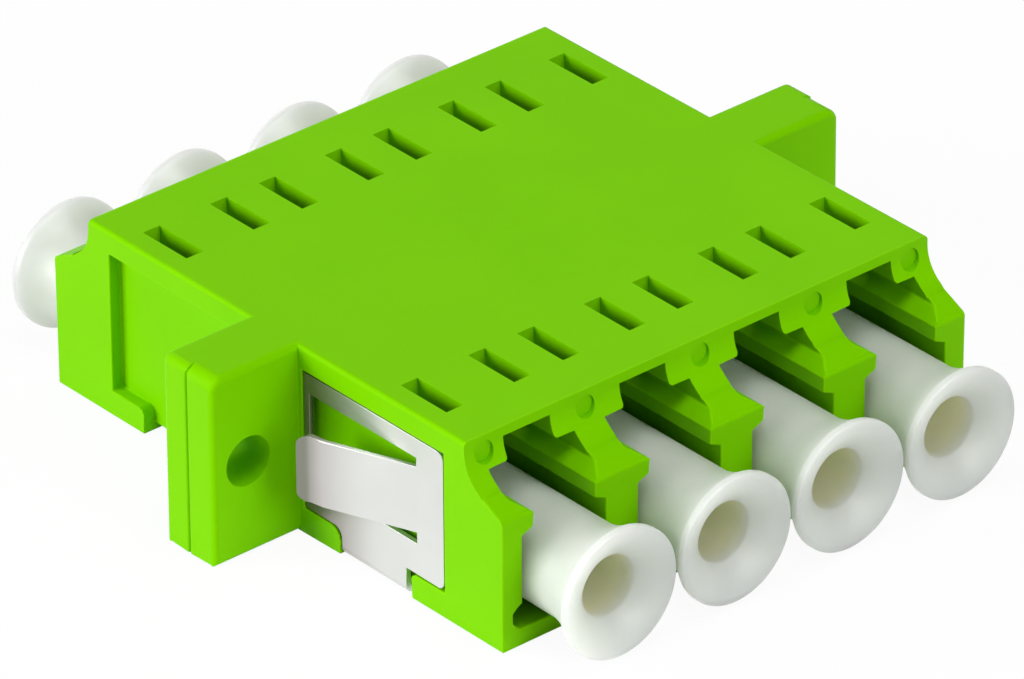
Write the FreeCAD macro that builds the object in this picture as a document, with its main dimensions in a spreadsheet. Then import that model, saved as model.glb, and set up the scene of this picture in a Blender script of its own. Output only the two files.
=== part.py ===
# Four-port LC adapter in the duplex SC footprint, with its panel clip, its sleeves and its dust caps.
# Millimetres. X runs across the ports, Y along the fibres with the clip side at -Y, Z up.
# The origin is below the middle of the flange, on the plane the housing stands on.

import os

import FreeCAD
import Part
import Sketcher

doc = FreeCAD.newDocument("lc_quad_adapter")
sheet = doc.addObject("Spreadsheet::Sheet", "Sizes")

# Driving sizes: the word used below, the value, and what it is.
sizes = [
    # the whole housing
    ("pitch", 6.25, "spacing of the ports, fixed by the LC interface"),
    ("body_height", 8.9, "housing over top and bottom"),
    ("half_length", 14.35, "middle of the flange to the port mouths"),
    ("axis_height", 3.15, "fibre axis over the bottom"),
    ("flange_thick", 3.2, "both halves together"),
    ("seam_shift", 0.1, "weld seam behind the middle of the flange"),
    ("hole_offset", 2.725, "housing's side to the middle of a screw hole"),
    ("ear_margin", 1.825, "middle of a screw hole to the end of its ear"),
    ("hole_diameter", 2.3, "clearance hole of an M2 screw"),
    ("edge_round", 0.22, "rounded long edges of the top"),
    ("flange_round", 0.3, "rounded outer edges of the ears"),
    ("seam_round", 0.15, "rounded edges along the weld seam"),
    ("overrun", 1.0, "how far a cutting tool runs past a face"),
    # stepped and hollowed port mouths, seen from the side
    ("end_setback", 2.33, "top edge behind the port mouths"),
    ("end_upright", 0.42, "straight part under the top edge"),
    ("end_hollow", 1.83, "radius of the hollow below it"),
    ("nose_height", 6.16, "edge of the mouths over the bottom"),
    ("nose_slope", 0.525, "rise of the slope behind that edge, for each millimetre"),
    ("nose_reach", 1.35, "how far that slope runs back into the hollow"),
    ("nose_round", 0.25, "rounded edge of the mouths"),
    # section of a port
    ("top_wall", 0.42, "wall over the latch slot"),
    ("slot_width", 2.5, "latch slot between two T heads"),
    ("head_depth", 1.48, "top to the underside of a T head"),
    ("head_chamfer", 0.13, "lower corners of a T head"),
    ("wing_width", 4.62, "latch wing channel"),
    ("end_wall", 1.015, "housing's side to the wing channel beside it"),
    ("shelf_drop", 0.87, "underside of a T head to the shelves"),
    ("shelf_fall", 0.45, "fall of a shelf's top to its edge"),
    ("shelf_gap", 3.3, "between two shelves"),
    ("shelf_thick", 0.7, "straight edge of a shelf"),
    ("shelf_slope", 0.25, "height of the sloped underside of a shelf"),
    ("channel_width", 4.5, "plug channel between two posts"),
    ("floor_height", 0.8, "floor of the plug channel over the bottom"),
    ("mouth_width", 5.5, "wider foot of a port at its mouth"),
    ("mouth_height", 1.2, "height of the wider foot"),
    ("mouth_depth", 3.0, "how far in it reaches"),
    ("mouth_corner", 0.35, "corners of the wider foot"),
    ("port_end", 0.9, "middle of the flange to the web behind a port"),
    ("latch_end", 5.6, "middle of the flange to the end of the latch slot"),
    # latch windows in the top
    ("window_offset", 1.806, "window to the middle of its port"),
    ("window_width", 0.9, "across"),
    ("window_near", 6.85, "end towards the flange"),
    ("window_far", 9.7, "end towards the mouth"),
    # marks of the mould's ejector pins
    ("dimple_diameter", 1.0, "on each T head"),
    ("dimple_depth", 0.12, "below the face"),
    ("dimple_drop", 0.78, "below the top"),
    ("dimple_inset", 1.03, "from the housing's side, on the end walls"),
    # sleeves and the tubes that hold them
    ("sleeve_outer", 1.62, "outside of a split sleeve"),
    ("sleeve_inner", 1.25, "ferrule size of the LC interface"),
    ("sleeve_length", 6.8, "end to end"),
    ("sleeve_slit", 0.2, "width of the slit"),
    ("sleeve_play", 0.05, "around a sleeve in its tube"),
    ("sleeve_float", 0.1, "at each end of a sleeve"),
    ("tube_outer", 2.9, "outside of a tube"),
    ("tube_end", 4.3, "middle of the flange to the tube's end"),
    ("lip_bore", 1.45, "lip that keeps the sleeve in"),
    # recess for the clip, the same on both halves
    ("recess_depth", 0.58, "into the side"),
    ("recess_near", 1.82, "end towards the flange"),
    ("recess_far", 10.7, "end towards the mouth"),
    ("recess_low", 1.2, "lower edge over the bottom"),
    ("recess_high", 7.8, "upper edge over the bottom"),
    ("strap_near", 4.12, "strap channel, end towards the flange"),
    ("strap_far", 8.63, "strap channel, end towards the mouth"),
    ("strap_depth", 0.3, "strap channel into the bottom"),
    ("tab_round", 0.55, "corner beside the strap towards the flange"),
    ("rail_round", 0.3, "corner beside the strap towards the mouth"),
    ("strap_corner", 0.2, "lower corner of the housing under the strap"),
    # spring clip
    ("sheet_thick", 0.25, "stainless spring sheet"),
    ("plate_seat", 0.28, "behind a side plate in its recess"),
    ("strap_seat", 0.03, "above the strap in its channel"),
    ("sheet_play", 0.07, "around the sheet in its recess"),
    ("strap_slack", 0.3, "more room beside the strap towards the mouth"),
    ("bend_inner", 0.12, "inside of the two long bends"),
    ("plate_round", 0.35, "corners of a side plate"),
    ("frame_near", 2.22, "clip window, end towards the flange"),
    ("frame_low", 2.74, "clip window, lower edge"),
    ("frame_high", 6.82, "clip window, upper edge"),
    ("tongue_root", 8.96, "where the tongue leaves the plate"),
    ("tongue_low", 3.27, "tongue, lower edge"),
    ("tongue_high", 6.4, "tongue, upper edge"),
    ("blade_length", 4.0, "straight part of the tongue, along the housing"),
    ("blade_out", 1.6, "how far that part moves outwards"),
    ("crown_length", 0.7, "flatter part after it"),
    ("crown_out", 0.12, "how far that part moves outwards"),
    ("lip_length", 0.46, "lip at the free end"),
    ("lip_out", 0.33, "how far the lip moves outwards"),
    ("lip_round", 0.45, "corners of the free end"),
    # dust caps
    ("cap_out", 3.5, "rim to the port mouth"),
    ("cap_rim", 5.92, "over the flared rim"),
    ("cap_edge", 0.35, "thickness of the rim's edge"),
    ("cap_lip", 0.22, "width of the rim's flat lip"),
    ("cap_flare", 2.2, "rim to the start of the flare"),
    ("cap_play", 0.04, "beside the stem in the plug channel"),
    ("nose_gap", 0.4, "closed end of a cap to the end of the tube"),
    ("cap_hole", 2.75, "blind hole in the funnel"),
    ("funnel_depth", 0.85, "rim to the start of that hole"),
    ("cap_floor", 1.2, "thickness of the closed end"),
]

for row, (word, value, note) in enumerate(sizes, start=1):
    sheet.set(f"A{row}", word)
    sheet.set(f"B{row}", str(value))
    sheet.set(f"C{row}", note)
    sheet.setAlias(f"B{row}", word)
doc.recompute()


class Term:
    # A size or a formula of sizes, held as a number and as the text that binds it to the sheet.
    def __init__(self, number, text):
        self.number = number
        self.text = text

    def __add__(self, other):
        other = term(other)
        return Term(self.number + other.number, f"({self.text} + {other.text})")

    def __sub__(self, other):
        other = term(other)
        return Term(self.number - other.number, f"({self.text} - {other.text})")

    def __mul__(self, other):
        other = term(other)
        return Term(self.number * other.number, f"({self.text} * {other.text})")

    def __truediv__(self, other):
        other = term(other)
        return Term(self.number / other.number, f"({self.text} / {other.text})")

    def __neg__(self):
        return Term(-self.number, f"(0 - {self.text})")


def term(value):
    if isinstance(value, Term):
        return value
    return Term(float(value), f"({float(value)})")


class Sizes:
    # Reads a size of the sheet by its word.
    def __getattr__(self, word):
        return Term(float(sheet.get(word)), f"Sizes.{word}")


s = Sizes()
zero = term(0)
half = term(1) / 2

# lengths used by several pieces
port_count = 4
ports = [s.pitch * (number - (port_count - 1) / 2) for number in range(port_count)]
width = ports[-1] + s.wing_width * half + s.end_wall
screw_x = width + s.hole_offset
ear = screw_x + s.ear_margin
face = s.flange_thick * half
head_low = s.body_height - s.head_depth
shelf_top = head_low - s.shelf_drop
shelf_edge = shelf_top - s.shelf_fall
shelf_low = shelf_edge - s.shelf_thick
plug_top = shelf_low - s.shelf_slope
mouth_past = s.half_length + s.overrun
top_past = s.body_height + s.overrun

front, rear = -1, 1
turns = {
    "x": FreeCAD.Rotation(FreeCAD.Vector(0, 1, 0), 90),
    "y": FreeCAD.Rotation(FreeCAD.Vector(1, 0, 0), -90),
    "up": FreeCAD.Rotation(FreeCAD.Vector(1, 0, 0), 90),
    "back": FreeCAD.Rotation(FreeCAD.Vector(0, 0, 1), 180),
}
near_enough = 1e-4


def bind(item, **values):
    for word, value in values.items():
        item.setExpression(word, term(value).text)


def place(item, x, y, z):
    for axis, value in zip("xyz", (x, y, z)):
        item.setExpression(f"Placement.Base.{axis}", term(value).text)


def box(name, x, d, z, side=rear):
    # Spans x, the distance d from the middle of the flange on one side of it, and z.
    item = doc.addObject("Part::Box", name)
    x, d, z = [[term(value) for value in pair] for pair in (x, d, z)]
    bind(item, Length=x[1] - x[0], Width=d[1] - d[0], Height=z[1] - z[0])
    place(item, x[0], d[0] if side == rear else -d[1], z[0])
    return item


def rod(name, axis, diameter, length, x, y, z):
    # A cylinder that runs from its place along an axis.
    item = doc.addObject("Part::Cylinder", name)
    item.Placement = FreeCAD.Placement(FreeCAD.Vector(), turns[axis])
    bind(item, Radius=term(diameter) * half, Height=length)
    place(item, x, y, z)
    return item


def rod_out(name, diameter, d, x, z, side):
    # A cylinder along the fibre, over the distance d from the middle of the flange.
    low = term(d[0]) if side == rear else -term(d[1])
    return rod(name, "y", diameter, term(d[1]) - term(d[0]), x, low, z)


def wedge(name, x, widths, d, z, side):
    # A bar along the fibre whose width goes from the first to the second over its height.
    item = doc.addObject("Part::Wedge", name)
    item.Placement = FreeCAD.Placement(FreeCAD.Vector(), turns["up"])
    lower, upper = [term(value) * half for value in widths]
    length = term(d[1]) - term(d[0])
    bind(item, Xmin=-lower, Xmax=lower, X2min=-upper, X2max=upper)
    bind(item, Ymin=zero, Ymax=term(z[1]) - term(z[0]))
    bind(item, Zmin=zero, Zmax=length, Z2min=zero, Z2max=length)
    place(item, x, d[1] if side == rear else -term(d[0]), z[0])
    return item


def fuse(name, items):
    item = doc.addObject("Part::MultiFuse", name)
    item.Shapes = items
    item.Refine = True
    return item


def cut(name, base, tool):
    item = doc.addObject("Part::Cut", name)
    item.Base = base
    item.Tool = tool
    item.Refine = True
    return item


def common(name, base, tool):
    item = doc.addObject("Part::Common", name)
    item.Base = base
    item.Tool = tool
    item.Refine = True
    return item


def lies(edge, axis=None, **where):
    # Does an edge run along an axis, and is its middle at these places, on either side of the middle plane?
    bounds = edge.BoundBox
    spans = {"x": bounds.XLength, "y": bounds.YLength, "z": bounds.ZLength}
    if axis and any(spans[other] > near_enough for other in spans if other != axis):
        return False
    middle = {"x": bounds.Center.x, "y": bounds.Center.y, "z": bounds.Center.z}
    for word, value in where.items():
        if spans[word] > near_enough or abs(abs(middle[word]) - abs(value.number)) > near_enough:
            return False
    return True


def rounded(name, base, *groups):
    # Rounds the edges of a shape that a group's tests pick, with the group's radius.
    doc.recompute()
    picked = []
    for radius, test in groups:
        for number, edge in enumerate(base.Shape.Edges, start=1):
            if test(edge):
                picked.append((number, radius.number, radius.number))
    item = doc.addObject("Part::Fillet", name)
    item.Base = base
    item.Edges = picked
    return item


def sides(name, z, d, depth_in, depth_out, side):
    # Two boxes, one at each side of the housing, from depth_in below its sides to depth_out beyond them.
    inner, outer = width - depth_in, width + depth_out
    left = box(f"{name}_left", (-outer, -inner), d, z, side)
    right = box(f"{name}_right", (inner, outer), d, z, side)
    return [left, right]


def trough(name, side, d, x, low, high, bend):
    # A bar under the housing, its two lower edges rounded where a bend is given.
    item = box(name, (-x, x), d, (low, high), side)
    if bend:
        item = rounded(f"{name}_bend", item, (bend, lambda e: lies(e, "y", x=x, z=low)))
    return item


def strap_ring(name, side, d, outer_x, outer_low, inner_x, inner_low, high, outer_bend, inner_bend):
    # A U bent round the underside, as the difference of two bars.
    inner_d = (d[0] - s.overrun, d[1] + s.overrun)
    outer = trough(f"{name}_outer", side, d, outer_x, outer_low, high, outer_bend)
    inner = trough(f"{name}_inner", side, inner_d, inner_x, inner_low, high + s.overrun, inner_bend)
    return cut(name, outer, inner)


def end_profile(word, side):
    # What is taken off above the port mouths: set back at the top, hollow below, then a slope to the edge.
    past = width + s.overrun
    upright_low = s.body_height - s.end_upright
    upper_d = s.half_length - s.end_setback
    upper = box(f"{word}_end_upper", (-past, past), (upper_d, mouth_past), (upright_low, top_past), side)
    hollow = rod(
        f"{word}_end_hollow", "x", s.end_hollow * 2, past * 2,
        -past, (upper_d + s.end_hollow) * side, upright_low,
    )
    inner = (s.half_length - s.nose_reach, s.nose_height + s.nose_slope * s.nose_reach)
    outer = (mouth_past, s.nose_height - s.nose_slope * s.overrun)
    first, last = (inner, outer) if side == rear else (outer, inner)
    slope = doc.addObject("Part::Wedge", f"{word}_end_slope")
    bind(slope, Xmin=-past, Xmax=past, X2min=-past, X2max=past)
    bind(slope, Ymin=first[0] * side, Ymax=last[0] * side)
    bind(slope, Zmin=first[1], Zmax=top_past, Z2min=last[1], Z2max=top_past)
    return fuse(f"{word}_end", [upper, hollow, slope])


def port_tools(word, side, number, x):
    # The hollow of one port: latch slot, wing channel, gap between shelves, plug channel, wider foot.
    def name(text):
        return f"{word}_{text}_{number}"

    def across(size):
        return (x - size * half, x + size * half)

    latch = (s.latch_end, mouth_past)
    plug = (s.port_end, mouth_past)
    foot = (s.half_length - s.mouth_depth, mouth_past)
    head = (head_low, head_low + s.head_chamfer)
    head_widths = (s.slot_width + s.head_chamfer * 2, s.slot_width)
    foot_low = (s.floor_height, s.floor_height + s.mouth_corner)
    foot_top = s.floor_height + s.mouth_height
    foot_high = (foot_top - s.mouth_corner, foot_top)
    narrowed = s.mouth_width - s.mouth_corner * 2
    tools = [
        box(name("slot"), across(s.slot_width), latch, (shelf_top, s.body_height - s.top_wall), side),
        box(name("wing"), across(s.wing_width), latch, (shelf_top, head_low), side),
        wedge(name("shelf_top"), x, (s.shelf_gap, s.wing_width), latch, (shelf_edge, shelf_top), side),
        wedge(name("head_chamfer"), x, head_widths, latch, head, side),
        box(name("gap"), across(s.shelf_gap), plug, (plug_top, shelf_top), side),
        wedge(name("slope"), x, (s.channel_width, s.shelf_gap), plug, (plug_top, shelf_low), side),
        box(name("channel"), across(s.channel_width), plug, (s.floor_height, plug_top), side),
        wedge(name("foot_low"), x, (narrowed, s.mouth_width), foot, foot_low, side),
        box(name("foot"), across(s.mouth_width), foot, (foot_low[1], foot_high[0]), side),
        wedge(name("foot_high"), x, (s.mouth_width, narrowed), foot, foot_high, side),
    ]
    window_d = (s.window_near, s.window_far)
    window_z = (head_low - s.head_chamfer, top_past)
    for hand, middle in (("a", x - s.window_offset), ("b", x + s.window_offset)):
        span = (middle - s.window_width * half, middle + s.window_width * half)
        tools.append(box(name(f"window_{hand}"), span, window_d, window_z, side))
    return tools


def recess_tools(word, side):
    # Room for a clip: a shallow field on each side, and a channel round the underside for the strap.
    field_z = (s.recess_low, s.recess_high)
    field_d = (s.recess_near, s.recess_far)
    field = sides(f"{word}_field", field_z, field_d, s.recess_depth, s.overrun, side)
    strap = strap_ring(
        f"{word}_strap", side, (s.strap_near, s.strap_far), width + s.overrun, -s.overrun,
        width - s.recess_depth, s.strap_depth, s.recess_low + s.overrun, None, s.strap_corner,
    )
    joined = fuse(f"{word}_recess", field + [strap])
    return rounded(
        f"{word}_recess_round", joined,
        (s.tab_round, lambda e: lies(e, "x", y=s.strap_near, z=s.recess_low)),
        (s.rail_round, lambda e: lies(e, "x", y=s.strap_far, z=s.recess_low)),
    )


def housing(word, side):
    # One moulded half: body, ears, four ports, the web and the tubes that hold the sleeves.
    seam = s.seam_shift * side
    body = box(f"{word}_block", (-width, width), (seam, s.half_length), (zero, s.body_height), side)
    shaped = cut(f"{word}_shaped", body, end_profile(word, side))
    smooth = rounded(
        f"{word}_smooth", shaped,
        (s.edge_round, lambda e: lies(e, "y", x=width, z=s.body_height)),
        (s.nose_round, lambda e: lies(e, "x", y=s.half_length, z=s.nose_height)),
    )

    slab = box(f"{word}_slab", (-ear, ear), (seam, face), (zero, s.body_height), side)
    ears = rounded(
        f"{word}_ears", slab,
        (s.flange_round, lambda e: lies(e, "z", x=ear, y=face)),
        (s.flange_round, lambda e: lies(e, "x", y=face)),
        (s.seam_round, lambda e: lies(e, "z", x=ear, y=s.seam_shift)),
    )
    solid = fuse(f"{word}_solid", [smooth, ears])

    tools = [recess_tools(word, side)]
    for number, x in enumerate(ports, start=1):
        tools += port_tools(word, side, number, x)
    mark_face = s.half_length - s.end_setback
    mark_d = (mark_face - s.dimple_depth, mark_face + s.overrun)
    mark_z = s.body_height - s.dimple_drop
    wall_mark = width - s.dimple_inset
    posts = [port + s.pitch * half for port in ports[:-1]]
    for number, x in enumerate([-wall_mark] + posts + [wall_mark], start=1):
        tools.append(rod_out(f"{word}_dimple_{number}", s.dimple_diameter, mark_d, x, mark_z, side))
    screw_d = (seam - s.overrun, face + s.overrun)
    screw_z = s.body_height * half
    for number, x in enumerate((-screw_x, screw_x), start=1):
        tools.append(rod_out(f"{word}_screw_{number}", s.hole_diameter, screw_d, x, screw_z, side))
    shell = cut(f"{word}_shell", solid, fuse(f"{word}_tools", tools))

    tube_d = (seam, s.tube_end)
    pocket_d = (seam - s.overrun, s.sleeve_length * half + s.sleeve_float)
    lip_d = (seam, s.tube_end + s.overrun)
    pocket = s.sleeve_outer + s.sleeve_play * 2
    tubes = []
    bores = []
    for number, x in enumerate(ports, start=1):
        tubes.append(rod_out(f"{word}_tube_{number}", s.tube_outer, tube_d, x, s.axis_height, side))
        bores.append(rod_out(f"{word}_pocket_{number}", pocket, pocket_d, x, s.axis_height, side))
        bores.append(rod_out(f"{word}_lip_{number}", s.lip_bore, lip_d, x, s.axis_height, side))
    joined = fuse(f"{word}_joined", [shell] + tubes)
    return cut(f"housing_{word}", joined, fuse(f"{word}_bores", bores))


def clip():
    # One piece of spring sheet: a strap under the housing, and at each side a plate with a tongue.
    inner_x = width - s.recess_depth + s.plate_seat
    outer_x = inner_x + s.sheet_thick
    inner_low = s.strap_depth - s.strap_seat
    strap_d = (s.strap_near + s.sheet_play, s.strap_far - s.sheet_play - s.strap_slack)
    plate_low = s.recess_low + s.sheet_play
    plate_high = s.recess_high - s.sheet_play
    plate_d = (s.recess_near + s.sheet_play, s.recess_far - s.sheet_play)
    strap = strap_ring(
        "clip_strap", front, strap_d, outer_x, inner_low - s.sheet_thick, inner_x, inner_low,
        plate_low + s.overrun, s.bend_inner + s.sheet_thick, s.bend_inner,
    )
    plates = sides("clip_plate", (plate_low, plate_high), plate_d, width - inner_x, outer_x - width, front)
    sheet_body = fuse("clip_sheet", [strap] + plates)
    tab = s.tab_round - s.sheet_play
    rounded_body = rounded(
        "clip_rounded", sheet_body,
        (s.plate_round, lambda e: lies(e, "x", y=plate_d[1], z=plate_high)),
        (s.plate_round, lambda e: lies(e, "x", y=plate_d[1], z=plate_low)),
        (tab, lambda e: lies(e, "x", y=strap_d[0], z=plate_low)),
    )
    windows = sides(
        "clip_window", (s.frame_low, s.frame_high), (s.frame_near, s.tongue_root),
        width - inner_x + s.overrun, s.overrun, front,
    )
    framed = cut("clip_framed", rounded_body, fuse("clip_windows", windows))
    pieces = [framed]
    for word, hand in (("left", -1), ("right", 1)):
        pieces += tongue(word, hand, inner_x)
    return fuse("panel_clip", pieces)


def slanted(name, hand, near_x, far_x, near_d, far_d, z):
    # A strip of the sheet that runs from one distance to another and moves outwards as it goes.
    item = doc.addObject("Part::Wedge", name)
    lower, upper = (near_x, far_x) if hand > 0 else (-near_x - s.sheet_thick, -far_x - s.sheet_thick)
    bind(item, Xmin=lower, Xmax=lower + s.sheet_thick, X2min=upper, X2max=upper + s.sheet_thick)
    bind(item, Ymin=-near_d, Ymax=-far_d, Zmin=z[0], Zmax=z[1], Z2min=z[0], Z2max=z[1])
    return item


def tongue(word, hand, inner_x):
    # The sprung tongue that holds the panel: a straight blade, a flatter crown, a rounded lip.
    span = (s.tongue_low, s.tongue_high)
    crown_d = s.tongue_root - s.blade_length
    crown_x = inner_x + s.blade_out
    lip_d = crown_d - s.crown_length
    lip_x = crown_x + s.crown_out
    end_d = lip_d - s.lip_length
    blade = slanted(f"clip_blade_{word}", hand, inner_x, crown_x, s.tongue_root, crown_d, span)
    crown = slanted(f"clip_crown_{word}", hand, crown_x, lip_x, crown_d, lip_d, span)
    strip = slanted(f"clip_strip_{word}", hand, lip_x, lip_x + s.lip_out, lip_d, end_d, span)
    past = lip_x + s.lip_out + s.overrun
    block = box(f"clip_end_{word}", (-past, past), (end_d, crown_d), span, front)
    corners = rounded(
        f"clip_end_round_{word}", block,
        (s.lip_round, lambda e: lies(e, "x", y=end_d, z=s.tongue_low)),
        (s.lip_round, lambda e: lies(e, "x", y=end_d, z=s.tongue_high)),
    )
    lip = common(f"clip_lip_{word}", strip, corners)
    return [blade, crown, lip]


def sleeve(number, x):
    # Zirconia tube with one slit, loose in its tube.
    end = s.sleeve_length * half
    past = end + s.overrun
    axis = s.axis_height
    outer = rod_out(f"sleeve_outer_{number}", s.sleeve_outer, (-end, end), x, axis, rear)
    bore = rod_out(f"sleeve_bore_{number}", s.sleeve_inner, (-past, past), x, axis, rear)
    slit_x = (x - s.sleeve_slit * half, x + s.sleeve_slit * half)
    slit = box(f"sleeve_slit_{number}", slit_x, (-past, past), (axis, axis + s.sleeve_outer))
    return cut(f"split_sleeve_{number}", outer, fuse(f"sleeve_tools_{number}", [bore, slit]))


def outline(body, name, corners):
    # A closed sketch through corners (radius, height), each bound to the sheet.
    sketch = body.newObject("Sketcher::SketchObject", name)
    plane = [item for item in body.Origin.OriginFeatures if item.Role == "XY_Plane"][0]
    sketch.AttachmentSupport = [(plane, "")]
    sketch.MapMode = "FlatFace"
    points = [FreeCAD.Vector(x.number, y.number, 0) for x, y in corners]
    for start, end in zip(points, points[1:] + points[:1]):
        sketch.addGeometry(Part.LineSegment(start, end), False)
    first, last = 1, 2
    root, x_axis, y_axis = -1, -1, -2
    for line in range(len(corners)):
        follower = (line + 1) % len(corners)
        sketch.addConstraint(Sketcher.Constraint("Coincident", line, last, follower, first))
    for line, (x, y) in enumerate(corners):
        for kind, axis, value in (("DistanceX", y_axis, x), ("DistanceY", x_axis, y)):
            if abs(value.number) < near_enough:
                sketch.addConstraint(Sketcher.Constraint("PointOnObject", line, first, axis))
            else:
                rule = Sketcher.Constraint(kind, root, first, line, first, value.number)
                mark = sketch.addConstraint(rule)
                sketch.setExpression(f"Constraints[{mark}]", value.text)
    return sketch


def dust_cap(name, side, x):
    # Soft push-in cap: flared rim with a funnel, and a stem that is hollow up to its closed end.
    body = doc.addObject("PartDesign::Body", name)
    length = s.half_length + s.cap_out - s.tube_end - s.nose_gap
    rim = s.cap_rim * half
    stem = s.channel_width * half - s.cap_play
    hole = s.cap_hole * half
    corners = [
        (rim - s.cap_lip, zero),
        (rim, zero),
        (rim, s.cap_edge),
        (stem, s.cap_flare),
        (stem, length),
        (zero, length),
        (zero, length - s.cap_floor),
        (hole, length - s.cap_floor),
        (hole, s.funnel_depth),
    ]
    sketch = outline(body, f"{name}_outline", corners)
    turned = body.newObject("PartDesign::Revolution", f"{name}_turned")
    turned.Profile = sketch
    turned.ReferenceAxis = (sketch, ["V_Axis"])
    turned.Angle = 360
    body.Tip = turned
    if side == rear:
        body.Placement = FreeCAD.Placement(FreeCAD.Vector(), turns["back"])
    place(body, x, (s.half_length + s.cap_out) * side, s.axis_height)
    return body


pieces = [
    ("housing_front", housing("front", front)),
    ("housing_rear", housing("rear", rear)),
    ("panel_clip", clip()),
]
for number, x in enumerate(ports, start=1):
    pieces.append((f"split_sleeve_{number}", sleeve(number, x)))
for word, side in (("front", front), ("rear", rear)):
    for number, x in enumerate(ports, start=1):
        node = f"dust_cap_{word}_{number}"
        pieces.append((node, dust_cap(node, side, x)))
doc.recompute()

for item in doc.Objects:
    if "Invalid" in item.State or "Error" in item.State:
        raise RuntimeError(f"{item.Label} did not build: {item.State}")

os.makedirs("parts", exist_ok=True)
for node, item in pieces:
    item.Label = node
    if item.Shape.isNull() or not item.Shape.isValid():
        raise RuntimeError(f"{node} has no valid shape")
    item.Shape.exportStep(f"parts/{node}.step")
    print(node, "solids", len(item.Shape.Solids), "volume", round(item.Shape.Volume, 3))
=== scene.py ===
# Quad fibre adapter: two moulded lime halves, a spring-steel panel clip and soft white dust caps.
import math

import bmesh
import bpy
from mathutils import Matrix, Vector


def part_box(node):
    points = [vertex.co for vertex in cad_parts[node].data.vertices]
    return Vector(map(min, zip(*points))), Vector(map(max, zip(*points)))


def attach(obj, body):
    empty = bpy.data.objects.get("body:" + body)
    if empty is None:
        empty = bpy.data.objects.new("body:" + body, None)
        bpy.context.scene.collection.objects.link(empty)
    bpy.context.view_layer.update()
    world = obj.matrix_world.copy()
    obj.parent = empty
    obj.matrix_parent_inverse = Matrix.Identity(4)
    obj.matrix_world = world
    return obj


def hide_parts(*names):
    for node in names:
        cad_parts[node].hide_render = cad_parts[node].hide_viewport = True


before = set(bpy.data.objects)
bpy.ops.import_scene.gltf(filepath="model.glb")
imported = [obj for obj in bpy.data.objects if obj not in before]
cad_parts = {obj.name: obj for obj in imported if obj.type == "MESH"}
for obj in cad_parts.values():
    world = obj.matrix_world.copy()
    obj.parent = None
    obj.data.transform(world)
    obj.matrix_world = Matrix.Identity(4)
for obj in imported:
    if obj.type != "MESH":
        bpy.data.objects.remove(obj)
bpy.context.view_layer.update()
mm = 0.001
halfWords = ("front", "rear")
portNumbers = range(1, 5)
print("frame loaded,", len(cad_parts), "nodes")


# shared helpers

noiseMiddle = {"From Min": 0.3, "From Max": 0.7}   # most of a noise lies between these


def addNode(tree, kind, values=None, **settings):
    node = tree.nodes.new(kind)
    for key, value in settings.items():
        setattr(node, key, value)
    for key, value in (values or {}).items():
        node.inputs[key].default_value = value
    return node


def startMaterial(name, values):
    material = bpy.data.materials.new(name)
    material.use_nodes = True
    shader = material.node_tree.nodes["Principled BSDF"]
    for key, value in values.items():
        shader.inputs[key].default_value = value
    return material, material.node_tree, shader


def noise(tree, size, detail=2, stretch=(1, 1, 1)):
    # noise whose lumps are about this size, in metres, in the piece's own coordinates
    place = addNode(tree, "ShaderNodeTexCoord")
    mapping = addNode(tree, "ShaderNodeMapping", {"Scale": stretch})
    texture = addNode(tree, "ShaderNodeTexNoise", {"Scale": 1 / size, "Detail": detail})
    tree.links.new(place.outputs["Object"], mapping.inputs["Vector"])
    tree.links.new(mapping.outputs["Vector"], texture.inputs["Vector"])
    return texture.outputs[0]


def spread(tree, value, low, high):
    # maps the middle of a noise to a range
    node = addNode(tree, "ShaderNodeMapRange", {**noiseMiddle, "To Min": low, "To Max": high})
    tree.links.new(value, node.inputs["Value"])
    return node.outputs["Result"]


def mixColour(tree, factor, first, second):
    node = addNode(tree, "ShaderNodeMix", data_type="RGBA")
    for socket, colour in (("A", first), ("B", second)):
        target = [item for item in node.inputs if item.name == socket and item.type == "RGBA"][0]
        if isinstance(colour, tuple):
            target.default_value = colour
        else:
            tree.links.new(colour, target)
    tree.links.new(factor, node.inputs[0])
    return [item for item in node.outputs if item.type == "RGBA"][0]


def bumpOf(tree, heights):
    # stacks bumps: each is a noise and its height in metres
    normal = None
    for value, height in heights:
        node = addNode(tree, "ShaderNodeBump", {"Strength": 1.0, "Distance": height})
        tree.links.new(value, node.inputs["Height"])
        if normal:
            tree.links.new(normal, node.inputs["Normal"])
        normal = node.outputs["Normal"]
    return normal


def attribute(tree, name):
    return addNode(tree, "ShaderNodeAttribute", attribute_name=name).outputs["Fac"]


def finishPiece(bm, name, material, body, node):
    # a mesh shaped in millimetres becomes a piece in metres that stands for its node
    bmesh.ops.scale(bm, vec=(mm, mm, mm), verts=bm.verts)
    mesh = bpy.data.meshes.new(name)
    bm.to_mesh(mesh)
    bm.free()
    mesh.materials.append(material)
    piece = bpy.data.objects.new(name, mesh)
    bpy.context.collection.objects.link(piece)
    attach(piece, body)
    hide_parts(node)
    return piece


# moulded lime plastic of the two halves

limePlastic = {
    "colour": (0.174, 0.55, 0.0, 1),
    "cloudColour": (0.186, 0.577, 0.0, 1),
    # painted highlight: the faces of the small rounds are coloured a lighter lime
    "paintedEdgeHighlight": (0.202, 0.605, 0.0, 1),
    "refraction": 1.5,
    "shineLevel": 0.05,
    "shineTint": (0.55, 1.0, 0.02, 1),
    "cloudSize": 6 * mm,
    "cloudDetail": 3,
    "grainSize": 0.11 * mm,
    "grainHeight": 0.0012 * mm,
    "sinkSize": 3.5 * mm,
    "sinkHeight": 0.012 * mm,
    "roughness": (0.36, 0.46),
}


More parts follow.
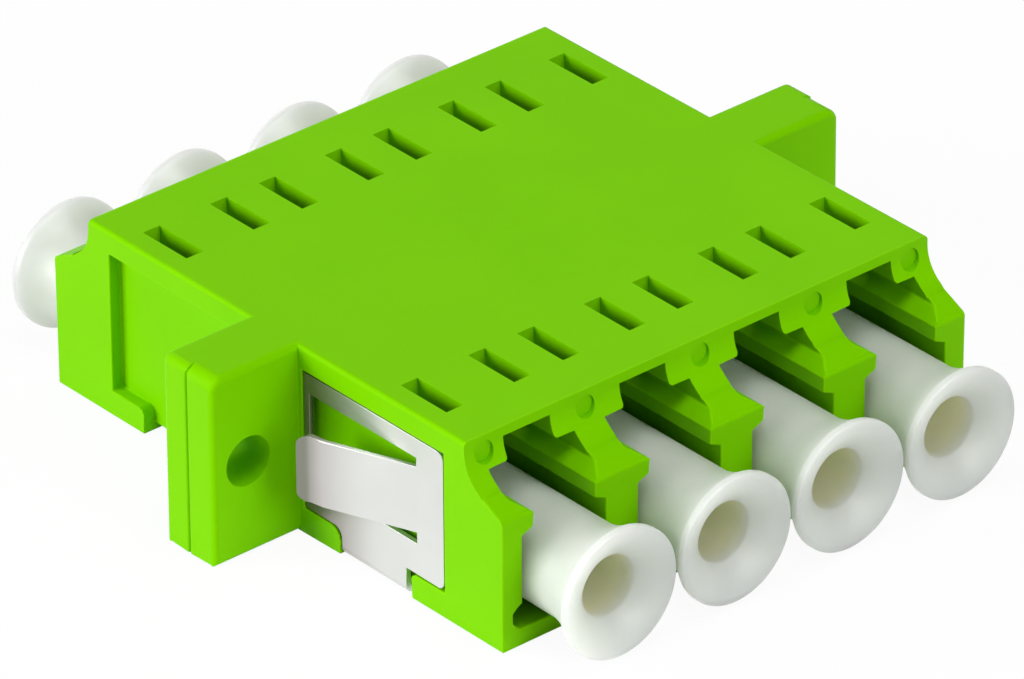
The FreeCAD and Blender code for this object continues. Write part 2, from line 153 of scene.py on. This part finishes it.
def makeLimePlastic():
    look = limePlastic
    material, tree, shader = startMaterial("limePlastic", {
        "IOR": look["refraction"],
        "Specular IOR Level": look["shineLevel"],
        "Specular Tint": look["shineTint"],
    })
    clouds = spread(tree, noise(tree, look["cloudSize"], look["cloudDetail"]), 0, 1)
    colour = mixColour(tree, clouds, look["colour"], look["cloudColour"])
    # painted highlight on the faces of the small rounds, where light catches the edges
    colour = mixColour(tree, attribute(tree, "roundedEdge"), colour, look["paintedEdgeHighlight"])
    tree.links.new(colour, shader.inputs["Base Color"])
    grain = noise(tree, look["grainSize"])
    tree.links.new(spread(tree, grain, *look["roughness"]), shader.inputs["Roughness"])
    sink = noise(tree, look["sinkSize"])
    normal = bumpOf(tree, [(sink, look["sinkHeight"]), (grain, look["grainHeight"])])
    tree.links.new(normal, shader.inputs["Normal"])
    return material


halfFinish = {                           # lengths in millimetres
    "mergeGap": 0.0005,
    "flatAngle": math.radians(0.5),
    "sharpAngle": math.radians(35),
    "edgeRound": 0.08,
    "roundSteps": 3,
    "shortEdge": 0.45,                   # shorter edges stay sharp
    "earFrom": 14.0,                     # out from the middle plane
    "earRound": {"housing_front": 0.65, "housing_rear": 0.45},
    "earSteps": 6,
    "earEdge": 0.3,                      # round of the panel face's edge, as the solid has it
    "earEdgeSteps": 4,
    "seam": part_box("housing_rear")[0].y / mm,
    "windows": {"near": 6.8, "far": 9.75, "side": 12.2, "low": 7.0},
}


def atWindow(spot, windows):
    alongFibre = windows["near"] < abs(spot.y) < windows["far"]
    return alongFibre and abs(spot.x) < windows["side"] and spot.z > windows["low"]


def staysSharp(edge, finish):
    # edges of the weld seam and of the latch windows are crisp
    spots = [vert.co for vert in edge.verts]
    onSeam = all(abs(spot.y - finish["seam"]) < finish["edgeRound"] for spot in spots)
    return onSeam or all(atWindow(spot, finish["windows"]) for spot in spots)


def earGeometry(bm, side, finish):
    # everything of one ear that lies beyond the plane where its cuts may begin
    start = finish["earFrom"] - finish["mergeGap"]
    verts = [vert for vert in bm.verts if vert.co.x * side > start]
    inEar = set(verts)
    edges = [edge for edge in bm.edges if inEar.issuperset(edge.verts)]
    faces = [face for face in bm.faces if inEar.issuperset(face.verts)]
    return verts + edges + faces


def cutEar(bm, side, point, outwards, finish):
    # takes off what an ear has beyond a plane, and closes the cut
    bmesh.ops.bisect_plane(
        bm, geom=earGeometry(bm, side, finish), dist=finish["mergeGap"],
        plane_co=point, plane_no=outwards, clear_outer=True,
    )
    bmesh.ops.holes_fill(bm, edges=[edge for edge in bm.edges if edge.is_boundary], sides=0)


def roundEars(bm, radius, finish):
    # the ears' upper corners are cut round in flat steps, and the round of the panel face's
    # edge follows them
    quarterTurn = math.pi / 2
    edgeRadius = finish["earEdge"]
    reach = max(vert.co.x for vert in bm.verts) - radius
    top = max(vert.co.z for vert in bm.verts) - radius
    for side in (-1, 1):
        bmesh.ops.bisect_plane(
            bm, geom=bm.verts[:] + bm.edges[:] + bm.faces[:], dist=finish["mergeGap"],
            plane_co=(side * finish["earFrom"], 0, 0), plane_no=(side, 0, 0),
        )
        earDepths = [vert.co.y for vert in bm.verts if vert.co.x * side > finish["earFrom"]]
        panelFace = max(earDepths, key=abs)
        facing = math.copysign(1, panelFace)
        for step in range(finish["earSteps"]):
            turn = quarterTurn * (step + 0.5) / finish["earSteps"]
            across = Vector((side * math.cos(turn), 0, math.sin(turn)))
            middle = Vector((side * reach, panelFace - facing * edgeRadius, top))
            middle += across * (radius - edgeRadius)
            for tiltStep in range(finish["earEdgeSteps"]):
                tilt = quarterTurn * tiltStep / finish["earEdgeSteps"]
                outwards = across * math.cos(tilt) + Vector((0, facing * math.sin(tilt), 0))
                cutEar(bm, side, middle + outwards * edgeRadius, outwards, finish)


def longSharpEdges(bm, finish):
    edges = [edge for edge in bm.edges if edge.is_manifold and edge.calc_length() >= finish["shortEdge"]]
    return [edge for edge in edges if edge.calc_face_angle() > finish["sharpAngle"]]


def mergedCopy(node, finish):
    # a copy of a node's triangles, in millimetres, merged into whole flat faces
    bm = bmesh.new()
    bm.from_mesh(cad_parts[node].data)
    bmesh.ops.scale(bm, vec=(1 / mm, 1 / mm, 1 / mm), verts=bm.verts)
    bmesh.ops.remove_doubles(bm, verts=bm.verts, dist=finish["mergeGap"])
    bmesh.ops.dissolve_limit(bm, angle_limit=finish["flatAngle"], verts=bm.verts, edges=bm.edges)
    return bm


def roundEdges(bm, sharp, finish):
    # marks the faces of the rounds; the lime plastic paints a highlight on them
    mark = bm.faces.layers.float.new("roundedEdge")
    made = bmesh.ops.bevel(
        bm, geom=sharp, offset=finish["edgeRound"], offset_type="OFFSET", affect="EDGES",
        segments=finish["roundSteps"], profile=0.5, material=-1, clamp_overlap=False,
    )
    for face in bm.faces:
        face.smooth = True
    for face in made["faces"]:
        face[mark] = 1.0
    bmesh.ops.dissolve_degenerate(bm, dist=finish["mergeGap"], edges=bm.edges)
    for edge in bm.edges:
        edge.smooth = not (edge.is_manifold and edge.calc_face_angle() > finish["sharpAngle"])


def evenNormals(piece):
    # keeps the large faces flat beside the small rounds
    weighted = piece.modifiers.new("evenNormals", "WEIGHTED_NORMAL")
    weighted.keep_sharp = True
    weighted.weight = 100                # the highest: large faces rule


def mouldedHalf(word, material):
    finish = halfFinish
    node = f"housing_{word}"
    bm = mergedCopy(node, finish)
    roundEars(bm, finish["earRound"][node], finish)
    sharp = [edge for edge in longSharpEdges(bm, finish) if not staysSharp(edge, finish)]
    roundEdges(bm, sharp, finish)
    piece = finishPiece(bm, f"{word}_half", material, "housing", node)
    evenNormals(piece)
    print(f"{word} half made,", len(piece.data.polygons), "faces")


limeMaterial = makeLimePlastic()
for word in halfWords:
    mouldedHalf(word, limeMaterial)


# folded spring-steel clip

springSteel = {
    "colour": (0.72, 0.73, 0.705, 1),
    "cloudColour": (0.67, 0.68, 0.655, 1),
    # painted reflection of the dark ear, with painted shade, on the sheet near the flange
    "paintedEarReflection": (0.30, 0.235, 0.24, 1),
    # painted shade on the lip, which is bent out away from the light
    "paintedLipShade": (0.24, 0.25, 0.20, 1),
    "cloudSize": 3.5 * mm,
    "cloudDetail": 2,
    "paintedEarReflectionFrom": -7.0 * mm,            # along the fibre, towards the flange
    "paintedEarReflectionTo": -2.2 * mm,
    "lipFrom": 14.25 * mm,               # out from the middle plane
    "lipTo": 14.5 * mm,
    "metal": 0.85,
    "grainSize": 0.05 * mm,
    "grainDetail": 3,
    "grainStretch": (1, 0.06, 1),
    "grainHeight": 0.0003 * mm,
    "roughness": (0.32, 0.40),
}

clipFinish = {                           # lengths in millimetres
    "mergeGap": 0.0005,
    "flatAngle": math.radians(0.5),
    "sharpAngle": math.radians(40),
    "edgeRound": 0.03,
    "roundSteps": 2,
    "shortEdge": 0.2,
}


def makeSpringSteel():
    look = springSteel
    material, tree, shader = startMaterial("springSteel", {"Metallic": look["metal"]})
    clouds = spread(tree, noise(tree, look["cloudSize"], look["cloudDetail"]), 0, 1)
    colour = mixColour(tree, clouds, look["colour"], look["cloudColour"])
    place = addNode(tree, "ShaderNodeTexCoord")
    axes = addNode(tree, "ShaderNodeSeparateXYZ")
    tree.links.new(place.outputs["Object"], axes.inputs[0])
    # painted reflection and painted shade: towards the flange the sheet turns a dark brownish grey
    nearFlange = addNode(tree, "ShaderNodeMapRange", {
        "From Min": look["paintedEarReflectionFrom"], "From Max": look["paintedEarReflectionTo"],
    }, interpolation_type="SMOOTHSTEP")
    tree.links.new(axes.outputs["Y"], nearFlange.inputs["Value"])
    colour = mixColour(tree, nearFlange.outputs["Result"], colour, look["paintedEarReflection"])
    # painted shade: out on the bent lip the sheet is coloured a darker grey
    outwards = addNode(tree, "ShaderNodeMath", operation="ABSOLUTE")
    tree.links.new(axes.outputs["X"], outwards.inputs[0])
    atLip = addNode(tree, "ShaderNodeMapRange", {
        "From Min": look["lipFrom"], "From Max": look["lipTo"],
    }, interpolation_type="SMOOTHSTEP")
    tree.links.new(outwards.outputs[0], atLip.inputs["Value"])
    colour = mixColour(tree, atLip.outputs["Result"], colour, look["paintedLipShade"])
    tree.links.new(colour, shader.inputs["Base Color"])
    grain = noise(tree, look["grainSize"], look["grainDetail"], look["grainStretch"])
    tree.links.new(spread(tree, grain, *look["roughness"]), shader.inputs["Roughness"])
    tree.links.new(bumpOf(tree, [(grain, look["grainHeight"])]), shader.inputs["Normal"])
    return material


def foldedClip(material):
    bm = mergedCopy("panel_clip", clipFinish)
    roundEdges(bm, longSharpEdges(bm, clipFinish), clipFinish)
    piece = finishPiece(bm, "sheet_clip", material, "housing", "panel_clip")
    evenNormals(piece)
    print("clip made,", len(piece.data.polygons), "faces")


foldedClip(makeSpringSteel())


# soft white dust caps

capPlastic = {
    "colour": (0.63, 0.655, 0.615, 1),
    "cloudColour": (0.60, 0.63, 0.585, 1),
    # painted light and shade: the hole's inside turns warm beige, for light passing through the thin
    # walls
    "paintedHoleLight": (0.90, 0.87, 0.58, 1),
    "cloudSize": 2.2 * mm,
    "cloudDetail": 3,
    "refraction": 1.51,
    "scatter": 1.0,
    "scatterReach": (1.0, 1.0, 0.9),
    "scatterScale": 3.0 * mm,
    "grainSize": 0.16 * mm,
    "grainHeight": 0.0016 * mm,
    "roughness": (0.34, 0.46),
}

capShape = {                             # lengths in millimetres, from the rim inwards
    "lipWidth": 0.22,
    "rimEdge": 0.35,
    "flareLength": 2.2,
    "flareArc": 4.2,
    "stemRadius": 2.21,
    "holeRadius": 1.375,
    "funnelDepth": 0.85,
    "funnelArc": 3.2,
    "closedEnd": 1.2,
    "arcSteps": 14,
    "holeSteps": 12,
    "turnSteps": 96,
    "cornerRound": 0.06,
    "cornerSteps": 3,
    "mergeGap": 0.0005,
    "sharpAngle": math.radians(50),
    "shadeDepth": 1.2,                   # over which the painted light and shade of the hole comes in
}


def makeCapPlastic():
    look = capPlastic
    material, tree, shader = startMaterial("capPlastic", {
        "IOR": look["refraction"],
        "Subsurface Weight": look["scatter"],
        "Subsurface Radius": look["scatterReach"],
        "Subsurface Scale": look["scatterScale"],
    })
    clouds = spread(tree, noise(tree, look["cloudSize"], look["cloudDetail"]), 0, 1)
    colour = mixColour(tree, clouds, look["colour"], look["cloudColour"])
    # painted light and shade: deeper in the hole the colour turns warm beige
    colour = mixColour(tree, attribute(tree, "holeShade"), colour, look["paintedHoleLight"])
    tree.links.new(colour, shader.inputs["Base Color"])
    grain = noise(tree, look["grainSize"])
    tree.links.new(spread(tree, grain, *look["roughness"]), shader.inputs["Roughness"])
    tree.links.new(bumpOf(tree, [(grain, look["grainHeight"])]), shader.inputs["Normal"])
    return material


def addArc(bm, start, end, radius, turn, steps):
    # spins a vertex from start to end; turn is 1 for anticlockwise
    chord = end - start.co
    rise = math.sqrt(radius ** 2 - (chord.length / 2) ** 2)
    side = Vector((-chord.y, chord.x, 0)).normalized() * turn
    centre = (start.co + end) / 2 + side * rise
    angle = 2 * math.asin(chord.length / 2 / radius) * turn
    made = bmesh.ops.spin(bm, geom=[start], cent=centre, axis=(0, 0, 1), angle=angle, steps=steps)
    return [item for item in made["geom_last"] if isinstance(item, bmesh.types.BMVert)][0]


def addRun(bm, start, end, steps=1):
    last = start
    for step in range(1, steps + 1):
        point = bm.verts.new(start.co.lerp(end, step / steps))
        bm.edges.new((last, point))
        last = point
    return last


def dustCap(word, number, material):
    shape = capShape
    node = f"dust_cap_{word}_{number}"
    low, high = [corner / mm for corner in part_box(node)]
    rim = (high.x - low.x) / 2
    length = high.y - low.y
    lip = Vector((rim - shape["lipWidth"], 0, 0))
    bm = bmesh.new()
    # the section, in the plane of the axis: closed end, stem, flare, rim, funnel and blind hole
    holeEnd = length - shape["closedEnd"]
    first = bm.verts.new((0, length, 0))
    stemEnd = addRun(bm, first, Vector((shape["stemRadius"], length, 0)))
    point = addRun(bm, stemEnd, Vector((shape["stemRadius"], shape["flareLength"], 0)))
    flareEnd = Vector((rim, shape["rimEdge"], 0))
    rimInner = addArc(bm, point, flareEnd, shape["flareArc"], 1, shape["arcSteps"])
    rimOuter = addRun(bm, rimInner, Vector((rim, 0, 0)))
    rimLip = addRun(bm, rimOuter, lip)
    holeStart = Vector((shape["holeRadius"], shape["funnelDepth"], 0))
    holeRim = addArc(bm, rimLip, holeStart, shape["funnelArc"], -1, shape["arcSteps"])
    point = addRun(bm, holeRim, Vector((shape["holeRadius"], holeEnd, 0)), shape["holeSteps"])
    addRun(bm, point, Vector((0, holeEnd, 0)))
    corners = [stemEnd, rimInner, rimOuter, rimLip, holeRim]
    bmesh.ops.bevel(
        bm, geom=corners, offset=shape["cornerRound"], offset_type="OFFSET", affect="VERTICES",
        segments=shape["cornerSteps"], profile=0.5, material=-1, clamp_overlap=True,
    )
    bmesh.ops.spin(
        bm, geom=bm.verts[:] + bm.edges[:], cent=(0, 0, 0), axis=(0, 1, 0),
        angle=2 * math.pi, steps=shape["turnSteps"], use_merge=True,
    )
    bmesh.ops.remove_doubles(bm, verts=bm.verts, dist=shape["mergeGap"])
    bmesh.ops.recalc_face_normals(bm, faces=bm.faces)
    # how far the painted light and shade of the hole has come in, by depth
    shade = bm.verts.layers.float.new("holeShade")
    for vert in bm.verts:
        inHole = math.hypot(vert.co.x, vert.co.z) < shape["holeRadius"] + shape["cornerRound"]
        if inHole and vert.co.y < holeEnd + shape["cornerRound"]:
            vert[shade] = min(1.0, max(0.0, (vert.co.y - shape["funnelDepth"]) / shape["shadeDepth"]))
    for face in bm.faces:
        face.smooth = True
    if word == "rear":
        bmesh.ops.rotate(bm, cent=(0, 0, 0), matrix=Matrix.Rotation(math.pi, 3, "Z"), verts=bm.verts)
    place = Vector(((low.x + high.x) / 2, low.y if word == "front" else high.y, (low.z + high.z) / 2))
    bmesh.ops.translate(bm, vec=place, verts=bm.verts)
    piece = finishPiece(
        bm, f"cap_{word}_{number}", material, f"{word}_cap_{number}", node,
    )
    piece.data.set_sharp_from_angle(angle=shape["sharpAngle"])
    return piece


capMaterial = makeCapPlastic()
for word in halfWords:
    for number in portNumbers:
        cap = dustCap(word, number, capMaterial)
print("caps made,", len(cap.data.polygons), "faces each")


# polished ceramic of the split sleeves

zirconia = {
    "colour": (0.86, 0.83, 0.76, 1),
    "cloudColour": (0.90, 0.88, 0.83, 1),
    "cloudSize": 0.8 * mm,
    "cloudDetail": 4,
    "refraction": 2.1,
    "roughness": (0.14, 0.22),
}


def makeZirconia():
    look = zirconia
    material, tree, shader = startMaterial("zirconia", {"IOR": look["refraction"]})
    clouds = noise(tree, look["cloudSize"], look["cloudDetail"])
    colour = mixColour(tree, spread(tree, clouds, 0, 1), look["colour"], look["cloudColour"])
    tree.links.new(colour, shader.inputs["Base Color"])
    tree.links.new(spread(tree, clouds, *look["roughness"]), shader.inputs["Roughness"])
    return material


sleeveMaterial = makeZirconia()
for number in portNumbers:
    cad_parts[f"split_sleeve_{number}"].material_slots[0].material = sleeveMaterial
print("sleeves dressed")


# floor, light and camera

studio = {                               # lengths in metres
    "floorSize": 1.6,
    "floorDrop": 0.02 * mm,
    "floorColour": (0.90, 0.90, 0.90, 1),
    "floorRoughness": 0.9,
    "floorWhite": 0.94,                  # share of plain white in what the camera sees of the floor
    "skyLight": 0.06,
}

lamps = {                                # place and size in metres, power in watts
    "leftLamp": {"place": (-0.53, 0.26, 0.18), "size": 0.35, "power": 3.9},
    "frontLamp": {"place": (0.04, -0.57, 0.25), "size": 0.35, "power": 1.9},
    "topLamp": {"place": (-0.05, -0.09, 0.61), "size": 0.35, "power": 2.0},
}

photoView = {
    "azimuth": -40.697,
    "elevation": 30.531,
    "roll": -0.38,
    "distance": 442.547 * mm,
    "target": (0.095 * mm, -0.155 * mm, 3.52 * mm),
    "lens": 371.7,
    "sensor": 36.0,
    "clipFactor": 10,                    # nearest and farthest depth, as a share of the distance
}


def seenDirectly(tree):
    # 1 for rays that see the background straight, in a reflection or through a clear piece
    path = addNode(tree, "ShaderNodeLightPath")
    total = path.outputs["Is Camera Ray"]
    for name in ("Is Glossy Ray", "Is Transmission Ray"):
        larger = addNode(tree, "ShaderNodeMath", operation="MAXIMUM")
        tree.links.new(total, larger.inputs[0])
        tree.links.new(path.outputs[name], larger.inputs[1])
        total = larger.outputs[0]
    return total


def makeFloor():
    bm = bmesh.new()
    bmesh.ops.create_grid(bm, x_segments=1, y_segments=1, size=studio["floorSize"] / 2)
    bmesh.ops.translate(bm, vec=(0, 0, -studio["floorDrop"]), verts=bm.verts)
    mesh = bpy.data.meshes.new("floor")
    bm.to_mesh(mesh)
    bm.free()
    floor = bpy.data.objects.new("floor", mesh)
    bpy.context.collection.objects.link(floor)
    material, tree, shader = startMaterial("paleFloor", {
        "Base Color": studio["floorColour"],
        "Roughness": studio["floorRoughness"],
        "Specular IOR Level": 0.0,
    })
    white = addNode(tree, "ShaderNodeEmission", {"Color": (1, 1, 1, 1), "Strength": 1.0})
    share = addNode(tree, "ShaderNodeMath", {1: studio["floorWhite"]}, operation="MULTIPLY")
    mix = addNode(tree, "ShaderNodeMixShader")
    tree.links.new(seenDirectly(tree), share.inputs[0])
    tree.links.new(share.outputs[0], mix.inputs["Fac"])
    tree.links.new(shader.outputs[0], mix.inputs[1])
    tree.links.new(white.outputs[0], mix.inputs[2])
    tree.links.new(mix.outputs[0], tree.nodes["Material Output"].inputs["Surface"])
    mesh.materials.append(material)


def makeSky():
    world = bpy.data.worlds.new("paleStudio")
    bpy.context.scene.world = world
    world.use_nodes = True
    tree = world.node_tree
    background = tree.nodes["Background"]
    background.inputs["Color"].default_value = (1, 1, 1, 1)
    strength = addNode(tree, "ShaderNodeMapRange", {"To Min": studio["skyLight"], "To Max": 1.0})
    tree.links.new(seenDirectly(tree), strength.inputs["Value"])
    tree.links.new(strength.outputs["Result"], background.inputs["Strength"])


def makeLamp(name, look):
    lamp = bpy.data.lights.new(name, "AREA")
    lamp.size = look["size"]
    lamp.energy = look["power"]
    holder = bpy.data.objects.new(name, lamp)
    holder.location = look["place"]
    holder.rotation_euler = (-Vector(look["place"])).to_track_quat("-Z", "Y").to_euler()
    bpy.context.collection.objects.link(holder)


def makeCamera():
    azimuth = math.radians(photoView["azimuth"])
    elevation = math.radians(photoView["elevation"])
    back = Vector((
        math.sin(azimuth) * math.cos(elevation),
        -math.cos(azimuth) * math.cos(elevation),
        math.sin(elevation),
    ))
    lens = bpy.data.cameras.new("photoCamera")
    lens.lens = photoView["lens"]
    lens.sensor_width = photoView["sensor"]
    lens.clip_start = photoView["distance"] / photoView["clipFactor"]
    lens.clip_end = photoView["distance"] * photoView["clipFactor"]
    camera = bpy.data.objects.new("photoCamera", lens)
    camera.location = Vector(photoView["target"]) + back * photoView["distance"]
    aim = (-back).to_track_quat("-Z", "Y").to_matrix().to_4x4()
    roll = Matrix.Rotation(math.radians(photoView["roll"]), 4, "Z")
    camera.rotation_euler = (aim @ roll).to_euler()
    bpy.context.collection.objects.link(camera)
    bpy.context.scene.camera = camera


makeFloor()
makeSky()
for lampName, lampLook in lamps.items():
    makeLamp(lampName, lampLook)
makeCamera()
bpy.context.scene.view_settings.view_transform = "Standard"
print("studio set")
